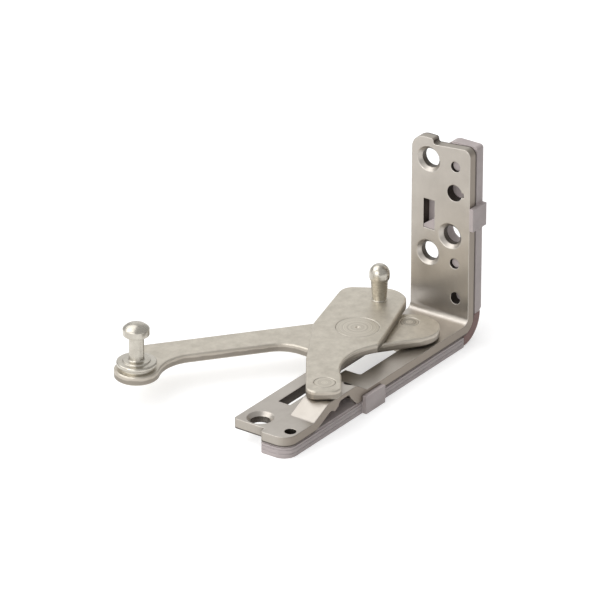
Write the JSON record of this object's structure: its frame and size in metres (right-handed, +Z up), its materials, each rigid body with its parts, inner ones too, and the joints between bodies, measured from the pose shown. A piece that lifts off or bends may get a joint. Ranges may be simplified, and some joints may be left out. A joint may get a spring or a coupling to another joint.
{
  "type": "concealed window frame hinge",
  "caption": "Concealed corner hinge for a window frame: a folded steel bracket on plastic packers, with a scissor of arms whose upright pins carry the sash.",
  "frame": {"origin": "on the foot pivot's axis, on the underside of the sill packer", "axes": "+X along the sill limb towards the jamb limb, +Y to the room side, +Z up along the pivots"},
  "size_m": [0.114, 0.0786, 0.0736],
  "materials": {
    "bracket_steel": "satin plated pressed steel",
    "arm_steel": "tumbled and plated steel with soft edges",
    "rivet_steel": "plated rivet steel, set flush",
    "pin_steel": "turned and plated steel",
    "packer_plastic": "moulded grey plastic",
    "filler_plastic": "moulded red-brown plastic",
    "bearing_plastic": "dark slippery bearing plastic"
  },
  "bodies": {
    "frame": {"corner_bracket": "bracket_steel", "sill_packer": "packer_plastic", "jamb_packer": "packer_plastic", "corner_filler": "filler_plastic", "foot_rivet": "rivet_steel", "foot_washer": "bearing_plastic"},
    "link": {"control_link": "arm_steel", "centre_rivet": "rivet_steel", "centre_washer": "bearing_plastic", "guide_pin": "pin_steel"},
    "arm": {"long_arm": "arm_steel", "slide_bush": "bearing_plastic", "slide_washer": "rivet_steel", "slide_rivet": "rivet_steel", "spacer_ring": "pin_steel", "mushroom_pin": "pin_steel"}
  },
  "joints": [
    {"name": "foot_pivot", "type": "hinge", "parent": "frame", "child": "link", "pos_m": [0, 0, 0.0137], "axis": [0, 0, 1], "range_deg": [-11.4, 22.9]},
    {"name": "centre_pivot", "type": "hinge", "parent": "link", "child": "arm", "pos_m": [0.04025, 0.0149, 0.0119], "axis": [0, 0, 1], "range_deg": [-78.5, 39.5]}
  ],
  "couplings": [
    {"joint": "centre_pivot", "follows": "foot_pivot", "ratio": -3.4}
  ]
}
